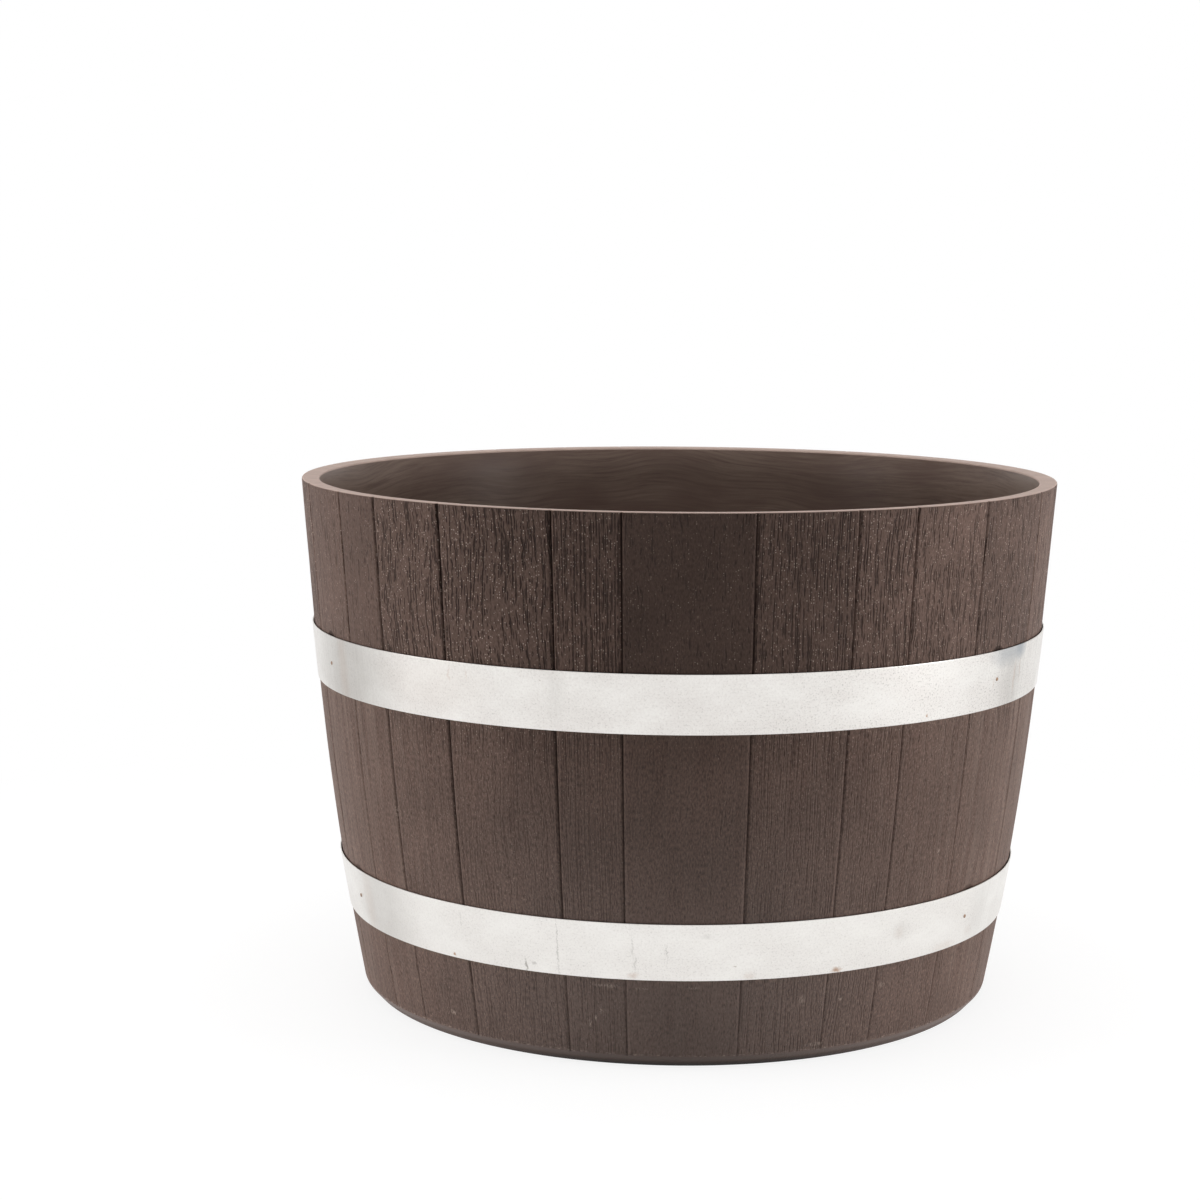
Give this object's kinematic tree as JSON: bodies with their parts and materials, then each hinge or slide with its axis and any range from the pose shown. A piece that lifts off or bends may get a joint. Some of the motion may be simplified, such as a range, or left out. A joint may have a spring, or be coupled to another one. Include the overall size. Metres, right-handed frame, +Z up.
{
  "type": "half-barrel planter",
  "caption": "Half-barrel planter: a moulded tub in the form of bowed staves, with a flat rim and a drain hole, bound by lapped and riveted galvanised hoops.",
  "frame": {"origin": "middle of the base, on the ground", "axes": "+Z up along the tub's axis; -Y is the front, and the hoops' laps are at the back (+Y)"},
  "size_m": [0.5198, 0.5198, 0.356],
  "materials": {
    "moulded_shell": "dark brown, moulded wood grain",
    "galvanised_strip": "pale galvanised",
    "steel_brad": "dull steel",
    "galvanised_rivet": "galvanised"
  },
  "bodies": {
    "root": {"planter_shell": "moulded_shell", "upper_hoop": "galvanised_strip", "lower_hoop": "galvanised_strip", "upper_brad_1": "steel_brad", "upper_brad_2": "steel_brad", "upper_brad_3": "steel_brad", "lower_brad_1": "steel_brad", "lower_brad_2": "steel_brad", "lower_brad_3": "steel_brad", "upper_rivet_1": "galvanised_rivet", "upper_rivet_2": "galvanised_rivet", "lower_rivet_1": "galvanised_rivet", "lower_rivet_2": "galvanised_rivet"}
  },
  "joints": []
}
